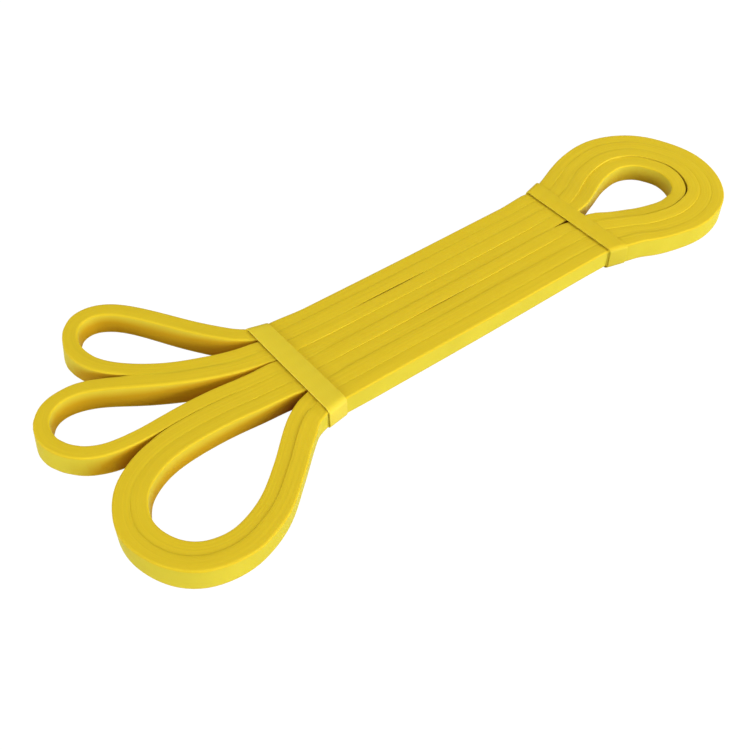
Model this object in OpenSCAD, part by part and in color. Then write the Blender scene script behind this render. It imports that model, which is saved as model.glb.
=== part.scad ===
// Loop exercise band: one endless flat latex strip, folded into a bundle of eight
// strands that stand on edge, and held by two flat rubber ties.
// +X runs along the bundle towards the shared eye, +Y across it, +Z up.

/* [Strip] */
// Length of the strip, once round the endless loop
strip_length = 2080; // [2040:10:2160]
// Width of the strip, which stands on edge
strip_width = 6.4; // [5:0.1:8]
// Thickness of the strip
strip_thickness = 4.5; // [4.2:0.1:4.6]
// Gap between strands that lie side by side
strand_gap = 0.45; // [0.45:0.01:0.55]
// Chamfer along the four long edges of the strip
edge_chamfer = 0.6; // [0.2:0.1:1]

/* [Ties] */
// Width of a tie along the bundle
tie_width = 6.5; // [5:0.1:6.5]
// Thickness of a tie's wall
tie_wall = 0.8; // [0.5:0.1:1.2]
// Room between a tie and the strands
tie_clearance = 0.2; // [0.15:0.05:0.3]
// How far the strands spread, on each side, under a tie
tie_spread = 1.6; // [1.6:0.1:2.4]
// Inside radius of a tie's four corners
tie_corner = 0.6; // [0.3:0.1:1]

/* [Detail] */
// Rings of the strip in each span of a fold
span_rings = 3; // [3:1:5]
// Facets of a quarter turn at a tie's corner
corner_facets = 4; // [2:1:8]

/* [Hidden] */

latex_yellow = [0.86, 0.75, 0.19];
tie_yellow = [0.87, 0.78, 0.24];

// The strands are numbered from 1 on the far side to 8 on the near side
strands = 8;
pitch = strip_thickness + strand_gap;
bundle_half = ((strands - 1) * pitch + strip_thickness) / 2;
function strand_y(k) = ((strands + 1) / 2 - k) * pitch;

// Guide points of the folds: distance out from the end of the straight run, and y
upper_guide = [
    [8, 18.5], [13.3, 24.8], [20.3, 35], [26.6, 45.2], [33.7, 55.2], [41.5, 59.3], [49.2, 56.3],
    [52.5, 47.5], [50.6, 38.8], [44.3, 30.6], [33.4, 22.6], [22, 17.6], [12, 13.5]
];
middle_guide = [
    [12, 8.3], [22.6, 12.1], [34.4, 17.6], [46.4, 25.3], [57, 31.8], [66.7, 32], [72.9, 26.5],
    [73.3, 17], [68.2, 8.2], [59, 4.4], [48, 4.4], [36, 5.2], [24, 4.6], [12, 2.9]
];
lower_guide = [
    [12, -7], [24, -5.4], [38, -4.9], [51, -5.9], [62.5, -12.5], [67, -24],
    [63, -35.5], [52.5, -41], [41, -38.5], [29.5, -31], [18.5, -20.5], [10, -14]
];
eye_guide = [
    [11, 4], [20, 8.5], [29.5, 13], [39.5, 14], [47.5, 9.5], [50, -0.5],
    [47, -9.5], [38.5, -13.5], [29, -12.5], [20, -8.5], [11, -4]
];

// A fold leaves the run along one strand and comes back along another, so its
// guide starts and ends with points of this spacing in line with those strands
lead = 4;
function leads(y) = [[-lead, y], [0, y], [lead, y]];
function turned(list) = [for (i = [len(list) - 1 : -1 : 0]) list[i]];
function guide(first, points, last) =
    concat(leads(strand_y(first)), points, turned(leads(strand_y(last))));

// Point and direction at t on span i of the uniform cubic B-spline of guide g
function blend(g, i, w) = w[0] * g[i] + w[1] * g[i + 1] + w[2] * g[i + 2] + w[3] * g[i + 3];
function spline(g, i, t) =
    blend(g, i, [pow(1 - t, 3), 3 * t^3 - 6 * t^2 + 4, -3 * t^3 + 3 * t^2 + 3 * t + 1, t^3] / 6);
function slope(g, i, t) =
    blend(g, i, [-pow(1 - t, 2), 3 * t^2 - 4 * t, -3 * t^2 + 2 * t + 1, t^2] / 2);
function unit(v) = v / norm(v);
function left_of(v) = [-v[1], v[0]];

// A fold, and the folds nested round it one pitch apart: nest counts from the inside
function fold(g, nest = 0) = [
    for (i = [0 : len(g) - 4])
        for (s = [0 : i == len(g) - 4 ? span_rings : span_rings - 1])
            let (t = s / span_rings)
                spline(g, i, t) + nest * pitch * left_of(unit(slope(g, i, t)))
];

upper_fold = fold(guide(1, upper_guide, 2));
middle_fold = fold(guide(3, middle_guide, 4));
lower_folds = [for (nest = [0 : 1]) fold(guide(6, lower_guide, 7), nest)];
eye_folds = [for (nest = [0 : 3]) fold(guide(4, eye_guide, 5), nest)];

// What the folds leave of the strip's length is shared out over the straight strands
function sum(list) = list * [for (x = list) 1];
function path_length(p) = sum([for (i = [1 : len(p) - 1]) norm(p[i] - p[i - 1])]);
all_folds = concat([upper_fold, middle_fold], lower_folds, eye_folds);
run = (strip_length - sum([for (f = all_folds) path_length(f)])) / strands;

// The endless route of the strip's centreline, with the run centred on x = 0
function at_left(f) = [for (p = f) [-run / 2 - p[0], p[1]]];
function at_right(f) = [for (p = f) [run / 2 + p[0], p[1]]];
route = concat(
    at_left(upper_fold), at_right(eye_folds[2]),
    turned(at_left(lower_folds[0])), turned(at_right(eye_folds[1])),
    at_left(middle_fold), at_right(eye_folds[0]),
    at_left(lower_folds[1]), turned(at_right(eye_folds[3]))
);
rings = len(route);
function next(i) = (i + 1) % rings;
function before(i) = (i + rings - 1) % rings;
across = [for (i = [0 : rings - 1]) left_of(unit(route[next(i)] - route[before(i)]))];

// The middle of the box round the strip becomes the origin
sides = [
    for (i = [0 : rings - 1])
        for (s = [-0.5, 0.5])
            route[i] + s * strip_thickness * across[i]
];
side_x = [for (p = sides) p[0]];
side_y = [for (p = sides) p[1]];
middle = [min(side_x) + max(side_x), min(side_y) + max(side_y)] / 2;

// The ties lift the bundle, and the folds settle down to the ground beyond them
tie_start = run / 2 + tie_clearance;
bed = tie_wall + tie_clearance;
settle_from = tie_clearance + tie_width + 1;
settle_over = 25;
function clamp(t) = min(max(t, 0), 1);
function ease(t) = let (u = clamp(t)) u^2 * (3 - 2 * u);
function ground_gap(x) = bed * (1 - ease((abs(x) - run / 2 - settle_from) / settle_over));

// Least gap of the strip to itself, from each route point to every stretch that is
// further than a tight bend away along the route
bend_reach = 25;
marks = [
    for (i = 0, s = 0; i <= rings; s = s + norm(route[next(i)] - route[i % rings]), i = i + 1)
        s
];
function along(i, j) = let (d = abs(marks[i] - marks[j])) min(d, marks[rings] - d);
function off_stretch(p, a, b) = let (d = b - a) norm(p - a - clamp((p - a) * d / (d * d)) * d);
least_gap = min([
    for (i = [0 : rings - 1])
        for (j = [0 : rings - 1])
            if (min(along(i, j), along(i, j + 1)) > bend_reach)
                off_stretch(route[i], route[j], route[next(j)])
]) - strip_thickness;
echo(str("strip length ", marks[rings], " mm, of which ", strands, " straight runs of ", run, " mm"));
echo(str("least gap of the strip to itself ", least_gap, " mm"));

// Section of the strip: x across its thickness, y up its width
flat_x = strip_thickness / 2;
flat_y = strip_width / 2;
section = [
    [flat_x, flat_y - edge_chamfer], [flat_x - edge_chamfer, flat_y],
    [edge_chamfer - flat_x, flat_y], [-flat_x, flat_y - edge_chamfer],
    [-flat_x, edge_chamfer - flat_y], [edge_chamfer - flat_x, -flat_y],
    [flat_x - edge_chamfer, -flat_y], [flat_x, edge_chamfer - flat_y]
];

module loop_band() {
    corners = len(section);
    points = [
        for (i = [0 : rings - 1])
            let (p = route[i] - middle, foot = ground_gap(route[i][0]))
                for (s = section)
                    [p[0] + s[0] * across[i][0], p[1] + s[0] * across[i][1], foot + flat_y + s[1]]
    ];
    faces = [
        for (i = [0 : rings - 1])
            for (j = [0 : corners - 1])
                let (
                    a = i * corners + j,
                    b = i * corners + (j + 1) % corners,
                    c = next(i) * corners + (j + 1) % corners,
                    d = next(i) * corners + j
                )
                    each [[a, b, c], [a, c, d]]
    ];
    color(latex_yellow) polyhedron(points, faces);
}

// Round-cornered outline of a ring seen along the bundle, grown by the given wall
function outline(half, tall, r, wall = 0) = [
    for (q = [0 : 3])
        for (f = [0 : corner_facets])
            let (
                turn = 90 * (q + f / corner_facets),
                up = q < 2 ? 1 : -1,
                side = q == 0 || q == 3 ? 1 : -1
            )
                [up * (tall / 2 - r), side * (half - r)] + (r + wall) * [sin(turn), cos(turn)]
];

// A tie on the end of the bundle at the given side, -1 or 1: it widens outwards with the strands
module tie(side) {
    inside_half = bundle_half + tie_clearance;
    inside_tall = strip_width + 2 * tie_clearance;
    widen = (inside_half + tie_spread) / inside_half;
    color(tie_yellow)
        translate([side * tie_start - middle[0], -middle[1], bed + flat_y])
            rotate([0, side * 90, 0])
                linear_extrude(height = tie_width, scale = [1, widen], slices = 1)
                    difference() {
                        polygon(outline(inside_half, inside_tall, tie_corner, tie_wall));
                        polygon(outline(inside_half, inside_tall, tie_corner));
                    }
}

module left_tie() {
    tie(-1);
}

module right_tie() {
    tie(1);
}

loop_band();
left_tie();
right_tie();
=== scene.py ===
"""Looks of a folded loop exercise band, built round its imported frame.

One endless strip of yellow latex is folded into eight strands that stand on edge, with three
loops at one end and a shared eye at the other, and two flat rubber ties hold the bundle.
Plans are in millimetres of the bundle, whose axis is y = 0 and whose straight run is centred
on x = 0. Meshes are in metres of the part's frame.
"""

import logging
import math
from abc import ABC, abstractmethod
from collections.abc import Callable
from dataclasses import dataclass
from enum import Enum

import bpy
import numpy as np
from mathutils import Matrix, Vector

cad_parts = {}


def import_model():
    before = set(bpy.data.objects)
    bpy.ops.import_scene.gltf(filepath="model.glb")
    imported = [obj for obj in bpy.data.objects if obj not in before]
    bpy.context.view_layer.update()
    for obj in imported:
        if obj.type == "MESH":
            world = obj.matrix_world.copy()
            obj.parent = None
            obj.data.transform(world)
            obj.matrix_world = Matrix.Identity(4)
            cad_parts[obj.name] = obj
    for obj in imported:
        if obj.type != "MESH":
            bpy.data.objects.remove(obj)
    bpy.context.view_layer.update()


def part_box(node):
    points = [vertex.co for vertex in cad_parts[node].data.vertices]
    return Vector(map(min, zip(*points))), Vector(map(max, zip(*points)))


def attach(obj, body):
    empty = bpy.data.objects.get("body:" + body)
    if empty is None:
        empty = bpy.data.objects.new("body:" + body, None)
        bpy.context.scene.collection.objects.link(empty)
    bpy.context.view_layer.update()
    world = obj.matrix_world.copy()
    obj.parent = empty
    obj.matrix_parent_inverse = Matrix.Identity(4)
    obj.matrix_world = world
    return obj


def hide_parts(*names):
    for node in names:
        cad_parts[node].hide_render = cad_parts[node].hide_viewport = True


MM = 0.001
LOG = logging.getLogger("loop_band")

Span = tuple[float, float]
Colour = tuple[float, float, float]
Plan = tuple[Span, ...]
Keys = tuple[Span, ...]

WHITE: Colour = (1.0, 1.0, 1.0)
WHOLE: Span = (0.0, 1.0)

# Plan direction to the far side of the bundle, which the strip's top leans to where it stands free
FAR_SIDE = np.array([0.5, 0.866])
# Cosine past which a direction counts as along another one, and past which it faces it
ALONG = 0.9
FACING = 0.5
# Cross product of two plan vectors, under which they count as parallel
PARALLEL = 1e-9


class End(Enum):
    """The two ends of the bundle, by the sign of their x."""

    LEFT = -1
    RIGHT = 1


@dataclass(frozen=True)
class Fold:
    """A fold of the strip beyond one end of the straight run.

    Keys are pairs of a share of the fold's length and a value there.

    Attributes:
        end: End of the bundle that the fold lies at.
        first: Strand that the innermost fold leaves the run by, counted from 1 on the far side.
        last: Strand that it comes back by.
        guide: Guide points between the two, as distance out from the run and y.
        lean: Keys of how far the top leans to the far side, in degrees.
        pitch: Keys of the room that each strand takes.
        shift: Keys of how far the innermost fold stands outside its guide.
        slack: Keys of how far the innermost fold falls short of the next one.
        spread: Keys of how much wider than the others the innermost fold lies.
        batter: Keys of how far the outermost fold's outer side slopes in towards its top.
        sinks: Keys, for each nested fold, of how far its top lies below the others.
        tilts: Keys, for each nested fold, of how far its top tilts down to the near side, in degrees.
    """

    end: End
    first: int
    last: int
    guide: Plan
    lean: Keys
    pitch: Keys
    shift: Keys = ((0, 0),)
    slack: Keys = ((0, 0),)
    spread: Keys = ((0, 0),)
    batter: Keys = ((0, 0),)
    sinks: tuple[Keys, ...] = (((0, 0),),)
    tilts: tuple[Keys, ...] = (((0, 0),),)


UPPER = Fold(
    End.LEFT, first=1, last=2,
    guide=(
        (8, 18.5), (13.3, 24.8), (20.3, 35), (26.6, 45.2), (33.7, 55.2), (41.5, 59.3),
        (49.2, 56.3), (52.5, 47.5), (50.6, 38.8), (44.3, 30.6), (33.4, 22.6), (22, 17.6),
        (12, 13.5),
    ),
    lean=(
        (0, 0), (0.06, 15), (0.12, 18), (0.2, 17), (0.36, 10), (0.48, 4), (0.56, 11), (0.62, 10),
        (0.7, 6), (0.8, 0), (1, 0),
    ),
    pitch=(
        (0, 4.95), (0.4, 4.95), (0.44, 5.1), (0.47, 4.95), (0.493, 5.15), (0.515, 5.45), (0.535, 5.35),
        (0.555, 5.0), (0.575, 4.75), (0.595, 4.6), (0.63, 4.75), (0.67, 4.85), (1, 4.95),
    ),
    shift=(
        (0, 0), (0.04, 0.4), (0.1, 0), (0.3, 0.1), (0.44, 0.12), (0.475, 0.05), (0.493, 0.15), (0.515, 0.4),
        (0.535, 0.45), (0.555, 0.37), (0.575, 0.36), (0.595, 0.47), (0.63, 0.58), (0.7, 0.5), (0.85, 0.15),
        (1, 0),
    ),
    batter=(
        (0, 0), (0.44, 0), (0.475, 0.25), (0.493, 0.5), (0.515, 0.85), (0.535, 0.55), (0.555, 0),
        (0.575, -0.35), (0.595, -0.5), (0.63, -0.2), (0.67, 0), (1, 0),
    ),
)
MIDDLE = Fold(
    End.LEFT, first=3, last=4,
    guide=(
        (12, 8.3), (22.6, 12.1), (34.4, 17.6), (46.4, 25.3), (57, 31.8), (66.7, 32),
        (72.9, 26.5), (73.3, 17), (68.2, 8.2), (59, 4.4), (48, 4.4), (36, 5.2), (24, 4.6),
        (12, 2.9),
    ),
    lean=(
        (0, 0), (0.05, 12), (0.12, 19), (0.25, 17), (0.36, 10), (0.46, 4), (0.53, 11), (0.66, 11),
        (0.74, 1), (1, 0),
    ),
    pitch=(
        (0, 4.95), (0.25, 4.9), (0.38, 4.65), (0.46, 4.65), (0.48, 4.85), (0.495, 5.05), (0.513, 5.05),
        (0.531, 4.75), (0.55, 4.5), (0.57, 4.3), (0.617, 4.3), (0.65, 4.55), (0.75, 4.8), (1, 4.95),
    ),
    shift=(
        (0, 0), (0.42, -0.1), (0.465, -0.15), (0.48, 0.1), (0.495, 0.45), (0.513, 0.73), (0.53, 0.85),
        (0.55, 0.65), (0.58, 0.38), (0.617, 0.2), (0.68, 0), (0.74, -0.2), (0.85, -0.2), (0.95, 0), (1, 0),
    ),
    batter=(
        (0, 0), (0.38, 0), (0.41, 0.3), (0.46, 0.2), (0.48, 0.3), (0.495, 0.5), (0.513, 0.45), (0.531, 0.2),
        (0.55, 0), (0.57, -0.25), (0.617, -0.25), (0.65, 0), (1, 0),
    ),
)
LOWER = Fold(
    End.LEFT, first=6, last=7,
    guide=(
        (12, -7), (24, -5.4), (38, -4.9), (51, -5.9), (62.5, -12.5), (67, -24),
        (63, -35.5), (52.5, -41), (41, -38.5), (29.5, -31), (18.5, -20.5), (10, -14),
    ),
    lean=((0, 0), (0.1, -2), (0.36, -2), (0.5, 4), (0.58, 7), (0.68, 6), (0.76, 0), (1, 0)),
    pitch=(
        (0, 4.95), (0.1, 4.8), (0.35, 4.8), (0.45, 4.75), (0.55, 4.82), (0.7, 4.55), (0.8, 4.3),
        (0.9, 4.5), (0.95, 4.85), (1, 4.95),
    ),
    shift=(
        (0, 0), (0.1, 0.45), (0.2, 0.6), (0.3, 0.5), (0.38, 0.4), (0.44, -0.1), (0.52, -0.6),
        (0.6, -0.1), (0.66, 0.3), (0.72, 0.45), (0.8, 0.05), (0.9, -0.3), (0.95, 0.2), (1, 0),
    ),
    batter=(
        (0, 0), (0.47, 0), (0.51, 0.5), (0.545, 0.5), (0.59, 0), (0.62, -0.25), (0.66, -0.75),
        (0.7, -0.75), (0.76, -0.65), (0.8, -0.75), (0.84, -0.6), (0.88, -0.8), (0.92, -0.4),
        (0.95, 0), (1, 0),
    ),
    sinks=(
        ((0, 0), (0.38, 0), (0.45, 0.2), (0.54, 0.28), (0.78, 0.35), (0.9, 0.2), (1, 0)),
        ((0, 0),),
    ),
    tilts=(((0, 0),), ((0, 0),)),
)
EYE = Fold(
    End.RIGHT, first=4, last=5,
    guide=(
        (11, 4), (20, 8.5), (29.5, 13), (39.5, 14), (47.5, 9.5), (50, -0.5),
        (47, -9.5), (38.5, -13.5), (29, -12.5), (20, -8.5), (11, -4),
    ),
    lean=((0, 0), (0.03, 0), (0.07, -10), (0.13, -9), (0.22, 2), (0.36, 4), (0.46, 0), (1, 0)),
    pitch=(
        (0, 4.95), (0.05, 5.1), (0.1, 4.75), (0.2, 4.55), (0.4, 4.5), (0.5, 4.32), (0.58, 4.2),
        (0.66, 4.5), (0.8, 4.6), (0.9, 4.95), (0.95, 5.2), (1, 4.95),
    ),
    shift=(
        (0, 0), (0.08, 0.4), (0.2, 0.7), (0.28, 0.75), (0.36, 1.25), (0.44, 1.6), (0.5, 2.4),
        (0.58, 2.1), (0.66, 0.8), (0.73, 0.3), (0.8, 0.45), (0.88, 1.0), (0.94, 0.6), (1, 0),
    ),
    slack=(
        (0, 0), (0.03, -0.1), (0.07, 0), (0.13, 0.2), (0.2, 0.4), (0.36, 0.5), (0.43, 0.8),
        (0.5, 1.0), (0.58, 1.0), (0.63, 0.55), (0.7, 0.45), (0.8, 0.45), (0.88, -0.2), (1, 0),
    ),
    spread=(
        (0, 0), (0.03, 0), (0.07, 0.3), (0.2, 0.7), (0.36, 0.9), (0.46, 1.05), (0.52, 0.95),
        (0.58, 0.65), (0.64, 0.3), (0.8, 0.3), (0.88, 0), (1, 0),
    ),
    batter=(
        (0, 0), (0.6, 0), (0.65, 0.4), (0.68, 0.5), (0.73, 0.8), (0.77, 0.8), (0.81, 0.3),
        (0.84, 0), (1, 0),
    ),
    sinks=(
        (
            (0, 0), (0.1, 0.25), (0.2, 0.5), (0.36, 0.6), (0.44, 0.3), (0.52, 0.25), (0.64, 0.45),
            (0.8, 0.4), (0.9, 0.2), (1, 0),
        ),
        ((0, 0),),
        ((0, 0), (0.12, 0.16), (0.4, 0.12), (0.62, 0.25), (0.85, 0.25), (0.95, 0.08), (1, 0)),
        ((0, 0), (0.12, 0.3), (0.4, 0.25), (0.62, 0.1), (0.85, 0.1), (0.95, 0), (1, 0)),
    ),
    tilts=(
        ((0, 0), (0.52, 0), (0.62, -8), (0.8, -7), (0.88, -4), (0.96, 0), (1, 0)),
        ((0, 0), (0.55, 0), (0.66, 1.5), (0.85, 1.5), (1, 0)),
        ((0, 0), (0.55, 0), (0.66, -1), (0.85, -1), (1, 0)),
        ((0, 0),),
    ),
)


@dataclass(frozen=True)
class Turn:
    """One turn of the strip through a fold.

    Attributes:
        fold: The fold.
        nest: Its place among nested folds, from 0 inside.
        backward: Whether the strip goes through it from its last strand to its first.
    """

    fold: Fold
    nest: int = 0
    backward: bool = False


# The strip's way round
CIRCUIT = (
    Turn(UPPER), Turn(EYE, nest=2), Turn(LOWER, backward=True), Turn(EYE, nest=1, backward=True),
    Turn(MIDDLE), Turn(EYE), Turn(LOWER, nest=1), Turn(EYE, nest=3, backward=True),
)


def ease(t: np.ndarray) -> np.ndarray:
    """Smooth step from 0 to 1 while t goes from 0 to 1."""
    u = np.clip(t, 0.0, 1.0)
    return u * u * (3.0 - 2.0 * u)


def keyed(keys: Keys, share: np.ndarray) -> np.ndarray:
    """Reads keys, eased from one to the next.

    Args:
        keys: The keys.
        share: Shares of the fold's length to read them at.

    Returns:
        The value at each share.
    """
    at, value = np.array(keys, float).T
    if len(at) == 1:
        return np.full(len(share), value[0])
    span = np.clip(np.searchsorted(at, share, side="right") - 1, 0, len(at) - 2)
    t = ease((share - at[span]) / (at[span + 1] - at[span]))
    return value[span] + t * (value[span + 1] - value[span])


def spline(guide: np.ndarray, rings: int) -> tuple[np.ndarray, np.ndarray]:
    """Samples a uniform cubic B-spline.

    Args:
        guide: Guide points, one in a row.
        rings: Samples in each span.

    Returns:
        The points and their unit directions.
    """
    points, slopes = [], []
    for span in range(len(guide) - 3):
        last = span == len(guide) - 4
        t = np.linspace(0.0, 1.0, rings + 1)[: None if last else -1, None]
        a, b, c, d = guide[span : span + 4]
        points.append(
            ((1 - t) ** 3 * a + (3 * t**3 - 6 * t**2 + 4) * b
             + (-3 * t**3 + 3 * t**2 + 3 * t + 1) * c + t**3 * d) / 6
        )
        slopes.append(
            (-((1 - t) ** 2) * a + (3 * t**2 - 4 * t) * b + (-3 * t**2 + 2 * t + 1) * c + t**2 * d) / 2
        )
    slope = np.concatenate(slopes)
    return np.concatenate(points), slope / np.linalg.norm(slope, axis=1, keepdims=True)


@dataclass(frozen=True)
class Bundle:
    """Where the tied bundle lies in the part's frame, in millimetres.

    Attributes:
        middle_x: Middle of the straight run.
        axis_y: The bundle's axis.
        half_run: Half the length of the straight run.
        strands: Strands side by side.
        pitch: Distance between neighbouring strands.
        bed: Height of the strands' lower edges in the run, where the ties lift them.
    """

    middle_x: float
    axis_y: float
    half_run: float
    strands: int = 8
    pitch: float = 4.95
    bed: float = 0.72

    @classmethod
    def from_frame(cls, tie_clearance: float = 0.2) -> "Bundle":
        """Reads the bundle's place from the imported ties.

        Args:
            tie_clearance: Room between the end of the run and a tie.

        Returns:
            The bundle.
        """
        (left_low, left_high), (right_low, _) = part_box("left_tie"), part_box("right_tie")
        return cls(
            middle_x=(left_high.x + right_low.x) / 2 / MM,
            axis_y=(left_low.y + left_high.y) / 2 / MM,
            half_run=(right_low.x - left_high.x) / 2 / MM - tie_clearance,
        )

    def strand_y(self, strand: int) -> float:
        """Distance of a strand's middle from the bundle's axis."""
        return ((self.strands + 1) / 2 - strand) * self.pitch

    def to_part(self, plan: np.ndarray) -> np.ndarray:
        """Moves plan points from the bundle's frame to the part's, still in millimetres."""
        return plan + np.array([self.middle_x, self.axis_y])


@dataclass
class Rings:
    """The strip's rings, one in a row of each array.

    Attributes:
        plan: Centre of the ring in the bundle's plan.
        left: Unit vector to the left of its way.
        lean: Lean of the ring's top to the far side, in degrees.
        pitch: Room that the strip takes across its thickness.
        sink: How far the strip's top lies below that of its neighbours.
        tilt: How far the top tilts down to the near side, in degrees.
        batter: How far the right side, which is the outer one in a fold, slopes in towards its top.
        along: Distance along the strip.
        length: The strip's whole length.
    """

    plan: np.ndarray
    left: np.ndarray
    lean: np.ndarray
    pitch: np.ndarray
    sink: np.ndarray
    tilt: np.ndarray
    batter: np.ndarray
    along: np.ndarray
    length: float


@dataclass(frozen=True)
class Parting:
    """A stretch of the run where two neighbouring strands stand apart.

    Attributes:
        far_strand: The strand on the far side of the gap.
        x: Where the gap is widest.
        reach: How far it reaches to each side.
        width: Its widest opening.
    """

    far_strand: int
    x: float
    reach: float
    width: float


@dataclass
class LatexStrip:
    """The endless strip: its folded route, its section and its unevenness, in millimetres.

    Attributes:
        bundle: Where the bundle lies.
        tight_tie: The tie whose walls the strands stay inside.
        sold_length: Length once round, as such a band is sold.
        width: Width of the strip, which stands on edge.
        free_round: Rounding of a long edge that stands free, across and up.
        far_round: Rounding of an edge that is pressed against a neighbour on its far side.
        near_round: The same on its near side.
        round_steps: Steps in a rounding.
        shoulder: Width of the flat on both sides of a rounding.
        crown: How far the middle of the top stands above its edges.
        touching: Gaps to a neighbour from which an edge rounds up, and at which it is free.
        bend_reach: Way along the strip within which a stretch is no neighbour.
        glances: Directions in which a side looks out for what stands before it, in degrees, to set its
            painted shade.
        own_reach: Way along the strip within which a side overlooks the strip itself.
        least_way: The shortest way that a side sees.
        lit_depth: Depth down to which a side is kept free of painted shade: against a neighbour, and far
            from one.
        lit_way: Distance at which a neighbour is far.
        eye_depth: How much painted shade counts in the eye, which is lit from its open middle.
        pivot: Share of the width at whose height a leaning strip stays in place.
        lead: Spacing of a fold's guide points in line with its strands.
        fold_rings: Rings in each span of a fold.
        run_step: Distance between rings in the run.
        settle_from: How far beyond the run the folds start to settle on the ground.
        settle_over: The way that they take to it.
        calm: The way from its ends over which the run takes on its strands' own lean and sink.
        bow: How far the run bows to the near side.
        waist: Share by which the far strands draw in along the run.
        strand_sink: How far each strand's top sinks at the left and the right end of the run.
        strand_tilt: How far each strand's top tilts down to the near side, in degrees.
        strand_lean: How far each strand leans to the far side at both ends, in degrees.
        seed: Seed of the unevenness along the strip.
        uneven_sink: How much the top's height varies.
        sink_waves: How often the parts of that wave come round.
        uneven_tilt: How much the top's tilt varies, in degrees.
        tilt_waves: How often the parts of that wave come round.
        swell: How far the strands swell up beyond the right tie.
        swell_rise: Where beyond the run they rise.
        swell_fall: Where they settle again.
        dip: How far the left rim of each tie presses the strands down.
        dip_at: Where these rims lie along the bundle.
        dip_reach: How far a dip reaches to each side.
        partings: Where strands stand apart.
    """

    bundle: Bundle
    tight_tie: "RubberTie"
    sold_length: float = 2080.0
    width: float = 7.0
    free_round: Span = (0.65, 0.45)
    far_round: Span = (1.2, 0.07)
    near_round: Span = (0.9, 0.05)
    round_steps: int = 6
    shoulder: float = 0.25
    crown: float = 0.03
    touching: Span = (0.3, 1.3)
    bend_reach: float = 25.0
    glances: tuple[float, ...] = (-50.0, -30.0, -10.0, 10.0, 30.0, 50.0)
    own_reach: float = 8.0
    least_way: float = 0.05
    lit_depth: Span = (0.8, 0.15)
    lit_way: float = 2.5
    eye_depth: float = 0.45
    pivot: float = 0.65
    lead: float = 4.0
    fold_rings: int = 9
    run_step: float = 2.2
    settle_from: float = 7.7
    settle_over: float = 14.0
    calm: float = 14.0
    bow: float = 0.25
    waist: float = 0.042
    strand_sink: tuple[Span, ...] = (
        (0.25, 0.2), (0.0, 0.2), (0.05, 0.08), (0.28, 0.2),
        (0.05, -0.05), (0.17, 0.12), (-0.08, -0.08), (0.07, -0.14),
    )
    strand_tilt: tuple[float, ...] = (-0.5, 0.0, 0.0, -1.0, 0.0, -1.0, 0.0, 0.0)
    strand_lean: tuple[Span, ...] = (
        (0.0, 0.0), (0.0, 0.0), (0.0, 0.0), (0.0, 0.0),
        (0.0, 0.0), (1.0, 0.0), (2.0, -1.0), (3.5, -2.0),
    )
    seed: int = 5
    uneven_sink: float = 0.05
    sink_waves: range = range(9, 30, 3)
    uneven_tilt: float = 1.0
    tilt_waves: range = range(7, 34, 4)
    swell: float = 0.62
    swell_rise: Span = (4.8, 6.8)
    swell_fall: Span = (10.0, 26.0)
    dip: float = 0.3
    dip_at: Span = (-60.3, 54.6)
    dip_reach: float = 3.0
    partings: tuple[Parting, ...] = (
        Parting(far_strand=2, x=-14.0, reach=26.0, width=0.72),
        Parting(far_strand=5, x=-4.0, reach=20.0, width=0.32),
        Parting(far_strand=4, x=57.2, reach=10.5, width=1.55),
    )

    def fold_rows(self, fold: Fold, nest: int) -> tuple[np.ndarray, ...]:
        """Lays out one fold from its first strand to its last.

        Args:
            fold: The fold.
            nest: Its place among nested folds, from 0 inside.

        Returns:
            The plan points, the lean of each to the far side in degrees, their pitch, sink, tilt
            and batter.
        """
        first = self.bundle.strand_y(fold.first)
        last = self.bundle.strand_y(fold.last)
        ways = (-self.lead, 0.0, self.lead)
        guide = np.array(
            [(x, first) for x in ways] + list(fold.guide) + [(x, last) for x in reversed(ways)]
        )
        points, way = spline(guide, self.fold_rings)
        steps = np.linalg.norm(np.diff(points, axis=0), axis=1)
        share = np.concatenate([[0.0], np.cumsum(steps)]) / steps.sum()
        outwards = np.column_stack([-way[:, 1], way[:, 0]])
        pitch = keyed(fold.pitch, share)
        offset = keyed(fold.shift, share) + nest * pitch
        if nest == 0:
            offset -= keyed(fold.slack, share)
            pitch = pitch + keyed(fold.spread, share)
        points = points + offset[:, None] * outwards
        points[:, 0] = fold.end.value * (self.bundle.half_run + points[:, 0])
        sink, tilt = keyed(fold.sinks[nest], share), keyed(fold.tilts[nest], share)
        outermost = nest == len(fold.sinks) - 1
        batter = keyed(fold.batter, share) * outermost
        return points, keyed(fold.lean, share), pitch, sink, tilt, batter

    def run_rows(self, start: np.ndarray, stop: np.ndarray) -> np.ndarray:
        """Lays out a straight strand between two folds.

        Args:
            start: Plan point that the strand starts from.
            stop: Plan point that it runs to.

        Returns:
            Its plan points, without its ends.
        """
        steps = int(np.linalg.norm(stop - start) / self.run_step)
        share = np.linspace(0.0, 1.0, steps + 1)[1:-1, None]
        return start + share * (stop - start)

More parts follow.
